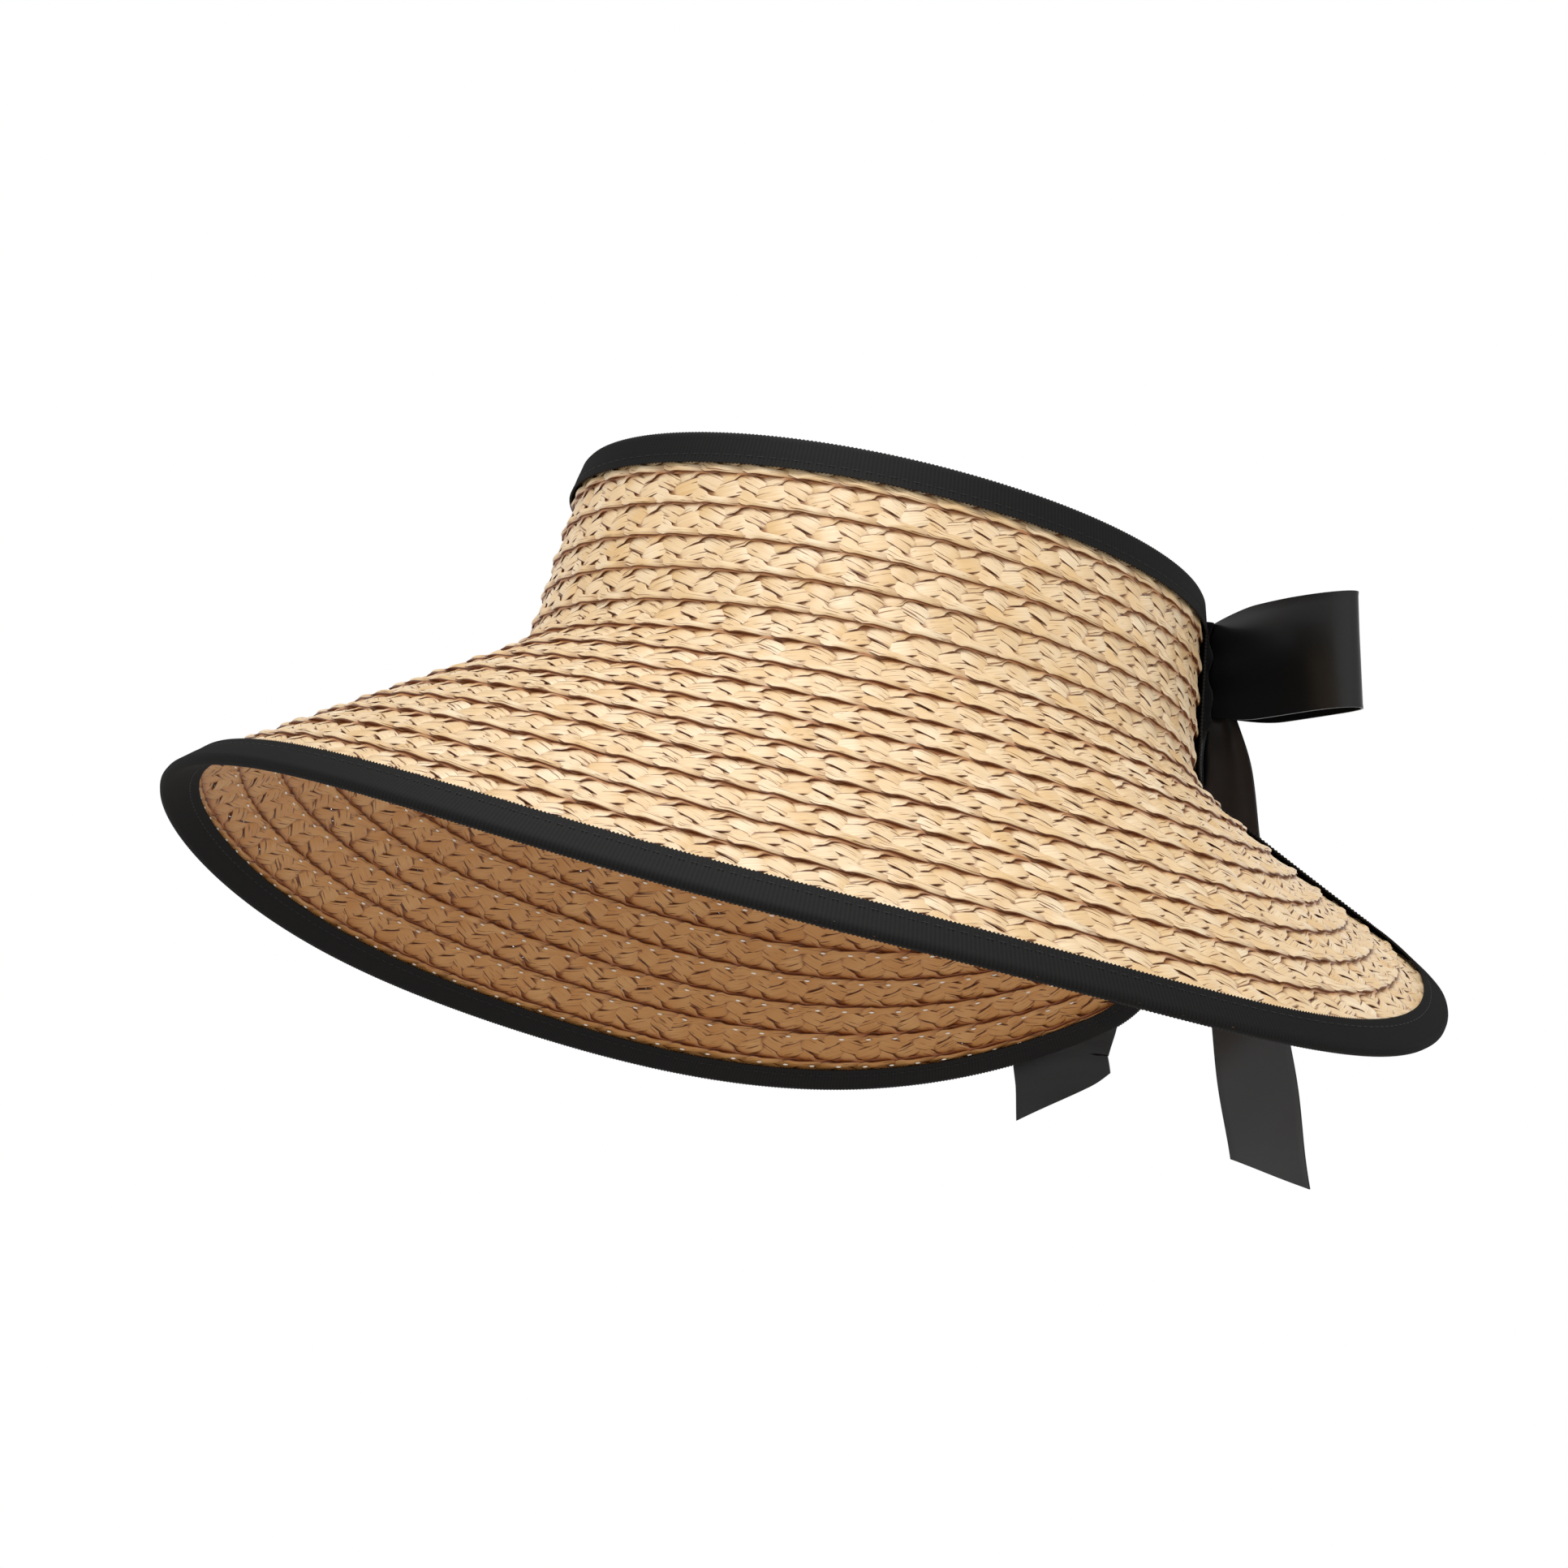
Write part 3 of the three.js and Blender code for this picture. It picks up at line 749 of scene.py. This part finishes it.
def smooth_line(points, count):
    """Equally spaced points on a smooth curve through the given ones, with its directions."""
    points = np.array(points, dtype=float)
    ends = [2 * points[0] - points[1]], [2 * points[-1] - points[-2]]
    posts = np.concatenate([ends[0], points, ends[1]])
    drawn = []
    for p0, p1, p2, p3 in zip(posts, posts[1:], posts[2:], posts[3:]):
        t1 = np.linalg.norm(p1 - p0) ** 0.5
        t2 = t1 + np.linalg.norm(p2 - p1) ** 0.5
        t3 = t2 + np.linalg.norm(p3 - p2) ** 0.5
        t = np.linspace(t1, t2, 40)[:, None]
        a1 = (t1 - t) / t1 * p0 + t / t1 * p1
        a2 = (t2 - t) / (t2 - t1) * p1 + (t - t1) / (t2 - t1) * p2
        a3 = (t3 - t) / (t3 - t2) * p2 + (t - t2) / (t3 - t2) * p3
        b1 = (t2 - t) / t2 * a1 + t / t2 * a2
        b2 = (t3 - t) / (t3 - t1) * a2 + (t - t1) / (t3 - t1) * a3
        drawn.append((t2 - t) / (t2 - t1) * b1 + (t - t1) / (t2 - t1) * b2)
    return even_line(np.concatenate(drawn), count)


def even_line(drawn, count):
    steps = np.linalg.norm(np.diff(drawn, axis=0), axis=1)
    along = np.concatenate([[0], np.cumsum(steps)])
    even = np.linspace(0, along[-1], count)
    line = np.stack([np.interp(even, along, drawn[:, i]) for i in range(3)], -1)
    ways = np.gradient(line, axis=0)
    ways /= np.linalg.norm(ways, axis=1, keepdims=True)
    return even, line, ways


def hang_ribbon(name, route, across, cut=0.0, roots=1, gather=1.2 * mm, folds=2.5, seed=0):
    """Lays a ribbon along a route. across gives the way its width runs at each share of the
    route, and roots says how many of its ends, 1 or 2, are gathered into the knot."""
    along, line, ways = route
    length = along[-1]
    steps = len(along) - 1
    strip = flat_strip(name, length, ribbon_width, steps, 24, ribbon_thickness)
    map_in_metres(strip, length, ribbon_width)
    points = get_points(strip)
    share = points[:, 0] / length + 0.5
    slant = cut / ribbon_width * points[:, 1] * share / length
    at = np.clip(share * (1 - cut / length / 2) + slant, 0, 1) * length
    root = np.minimum(at, length - at) if roots == 2 else at
    wide = np.array([across(s) for s in np.linspace(0, 1, steps + 1)])
    side, way, middle = (
        np.stack([np.interp(at, along, values[:, i]) for i in range(3)], -1) for values in (wide, ways, line))
    face = np.cross(way, side)
    face /= np.linalg.norm(face, axis=1, keepdims=True)
    side = np.cross(face, way)
    spread = ribbon_pinch + (1 - ribbon_pinch) * smooth_step(-pinch_run / 2, pinch_run, root)
    v = points[:, 1] / ribbon_width
    pleat = gather * np.cos(2 * np.pi * folds * v + seed) * np.exp(-root / pleat_run)
    ripple = ripple_height * np.sin(2 * np.pi * (at / ripple_length + 0.35 * v) + seed)
    selvedge = selvedge_height * np.sign(points[:, 2]) * (np.abs(v) > 0.47)
    out = pleat + ripple * smooth_step(0, 20 * mm, root) + points[:, 2] + selvedge
    width = (points[:, 1] * spread)[:, None]
    set_points(strip, middle + side * width + face * out[:, None])
    strip.data.materials.append(satin)
    bpy.ops.object.shade_smooth_by_angle(angle=math.radians(50))
    return strip, length


# Ties: the stretch of ribbon from each back end of the crown to the knot, stitched inside the
# bound end and gathered where it enters the knot.
tie_row = 2.2
tie_depth = -4.83 * mm
tie_start, tie_leaving = 5.5 * mm, 12.8 * mm
for name, side in (("left", 1), ("right", -1)):
    runs = np.radians([-3.0, 6.5, 13.0])
    inside = off_form(side * (back_end_angle - runs), np.full(3, tie_row), np.full(3, tie_depth))
    at_knot = knot_centre + (side * tie_start, 0, 0)
    leaving = knot_centre + (side * tie_leaving, 0, 0)
    route = smooth_line([at_knot, leaving, *inside], 60)
    slope = side * (back_end_angle - runs[1])
    crown_line = off_form(np.full(2, slope), np.array([tie_row - 1, tie_row + 1]), np.zeros(2))
    up_crown = (crown_line[0] - crown_line[1]) / np.linalg.norm(crown_line[0] - crown_line[1])
    tie, length = hang_ribbon(
        f"satin_tie_{name}", route,
        lambda s: np.array([0, 0, 1]) + (up_crown - (0, 0, 1)) * min(1, 2 * s), seed=side)
    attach(tie, "visor")
    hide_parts(f"ribbon_tie_{name}")


# Knot: the ribbon wrapped once round the middle of the bow and pulled in, so that it creases
# lengthwise.
deselect_all()
bpy.ops.mesh.primitive_cylinder_add(vertices=64, radius=1, depth=1, end_fill_type="TRIFAN",
                                    rotation=(0, math.radians(90), 0))
knot = bpy.context.object
knot.name = "satin_knot"
bpy.ops.object.transform_apply(rotation=True)
bpy.ops.object.mode_set(mode="EDIT")
for cut_at in np.linspace(-0.45, 0.45, 19):
    bpy.ops.mesh.select_all(action="SELECT")
    bpy.ops.mesh.bisect(plane_co=(cut_at, 0, 0), plane_no=(1, 0, 0))
bpy.ops.object.mode_set(mode="OBJECT")
points = get_points(knot)
u = points[:, 0]
ring = np.arctan2(points[:, 2], points[:, 1])
radius = np.hypot(points[:, 1], points[:, 2])
squareness = 0.72
crease_count, crease_depth = 2.5, 0.07
y = np.sign(np.cos(ring)) * np.abs(np.cos(ring)) ** squareness * knot_depth / 2
z = np.sign(np.sin(ring)) * np.abs(np.sin(ring)) ** squareness * knot_height / 2
rolled = np.sqrt(np.clip(1 - (np.abs(u) / 0.5) ** 4 * 0.55, 0, 1))
steep = np.abs(np.sin(ring))
creases = 1 + np.cos(2 * np.pi * (crease_count * u + 0.1 * np.sin(ring)))
shape = rolled * (1 - crease_depth * creases * (steep * 0.4 + 0.6)) * radius * 1.05
wide = u * knot_width * (1 + 0.12 * steep)
set_points(knot, np.stack([wide, y * shape, z * shape], -1) + knot_centre)
knot.data.materials.append(satin)
bpy.ops.object.shade_smooth_by_angle(angle=math.radians(50))
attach(knot, "visor")
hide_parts("bow_knot")


# Loops: each goes out from the knot, folds round at its tip and comes back, a flat band on edge.
loop_length = 57 * mm
loop_fullness = 12 * mm
loop_sweep = math.radians(15)
root_half = 1.2 * mm
inside_knot = 5 * mm
bow_set_back = 3 * mm
for name, side in (("left", 1), ("right", -1)):
    out = np.array([side * math.cos(loop_sweep), math.sin(loop_sweep), 0])
    full = np.cross((0, 0, 1), out)
    root = knot_centre + (side * 10.4 * mm, bow_set_back, 0)
    reach = loop_length * 0.45
    tip = loop_length - ribbon_thickness
    belly = loop_fullness * 0.62
    posts = [(-inside_knot, -root_half), (reach, -belly), (tip, -belly), (tip, 0),
             (tip, belly), (reach, belly), (-inside_knot, root_half)]
    drawn = []
    for a, b, c, d in (posts[0:4], posts[3:7]):
        t = np.linspace(0, 1, 60)[:, None]
        flat = ((1 - t) ** 3 * a + 3 * (1 - t) ** 2 * t * np.array(b)
                + 3 * (1 - t) * t ** 2 * np.array(c) + t ** 3 * np.array(d))
        drawn.append(root + flat[:, :1] * out + flat[:, 1:] * full)
    route = even_line(np.concatenate([drawn[0], drawn[1][1:]]), 130)
    loop, length = hang_ribbon(
        f"satin_loop_{name}", route, lambda s: np.array([0, 0, 1.0]), roots=2, gather=0.9 * mm, seed=side)
    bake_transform(loop)
    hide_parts(f"bow_loop_{name}")


# Tails: the free ends of the ribbon, cut on the slant. The left one hangs through the gap between
# the back ends, and the right one lies over the brim's back corner and hangs past its edge.
tail_cut = 14 * mm
tail_below = (ribbon_width - knot_height) / 2 + 0.5 * mm
left_root, right_root = 6 * mm, -14 * mm
gathered_half = 12.7 * mm
right_hang = 24 * mm
under_knot = knot_centre + (0, bow_set_back, -knot_height / 2)
left_top = under_knot + (left_root, 0, -tail_below)
left_drop = np.array([20, 8.5, -139]) * mm
left_turn = math.radians(8)
route = smooth_line(
    [left_top - left_drop * 0.07, left_top, left_top + left_drop / 2, left_top + left_drop], 140)
tail, length = hang_ribbon(
    "satin_tail_left", route, lambda s: np.array([math.cos(left_turn), math.sin(left_turn), 0]),
    cut=tail_cut, gather=2.2 * mm, folds=2.2)
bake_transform(tail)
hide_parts("ribbon_tail_left")

over_brim = np.array([(154, 8.5), (150, 11), (146.5, 13), (143.5, 15), (141.5, 16.5)])
lift = np.array([10.5, 6.3, 6.2, 6.1, 6.1]) * mm
laid = off_form(-np.radians(over_brim[:, 0]), over_brim[:, 1], lift)
hung = [laid[-1] + np.array([-1 * mm, 2 * mm, -right_hang * share]) for share in (0.5, 1)]
right_start = under_knot + (right_root, 0, -tail_below - gathered_half)
start_across = np.array(Vector((-0.45, 0.1, 0.85)).normalized())
end_across = np.array(Vector((-0.78, -0.62, 0)).normalized())
route = smooth_line([under_knot + (-3 * mm, 0, 1 * mm), right_start, *laid, *hung], 180)


def turn_to_brim(share):
    """The way that the right tail's width runs: upright at the knot, flat on the brim."""
    return start_across + (end_across - start_across) * min(1, max(0, share - 0.06) * 2.3)


tail, length = hang_ribbon("satin_tail_right", route, turn_to_brim, cut=tail_cut, gather=1.6 * mm)
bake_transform(tail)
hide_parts("ribbon_tail_right")
